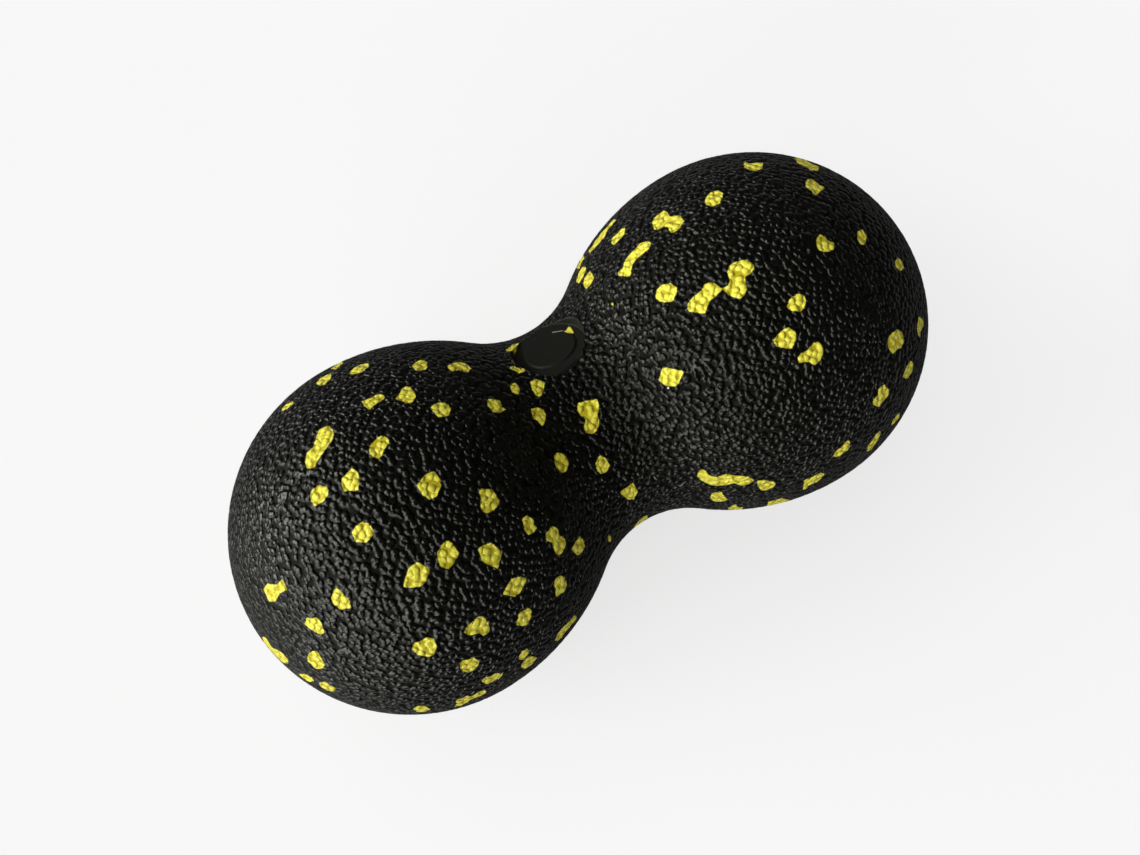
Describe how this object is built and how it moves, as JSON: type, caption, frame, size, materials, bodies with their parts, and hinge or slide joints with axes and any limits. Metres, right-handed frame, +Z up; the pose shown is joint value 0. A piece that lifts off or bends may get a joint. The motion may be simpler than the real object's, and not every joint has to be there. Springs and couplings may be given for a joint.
{
  "type": "peanut massage ball",
  "caption": "Peanut-shaped massage ball: two equal foam balls joined by a concave waist that clears the spine or a tendon, black with scattered yellow beads.",
  "frame": {"origin": "centre of the waist, which is the centre of the whole body", "axes": "+X along the line through both ball centres, +Z up with the body lying on its side, and +Y across the body"},
  "size_m": [0.163, 0.078, 0.078],
  "materials": {
    "bead_foam": "black bead foam with a fine pebbled skin and a scatter of yellow beads"
  },
  "bodies": {
    "root": {"peanut_body": "bead_foam"}
  },
  "joints": []
}
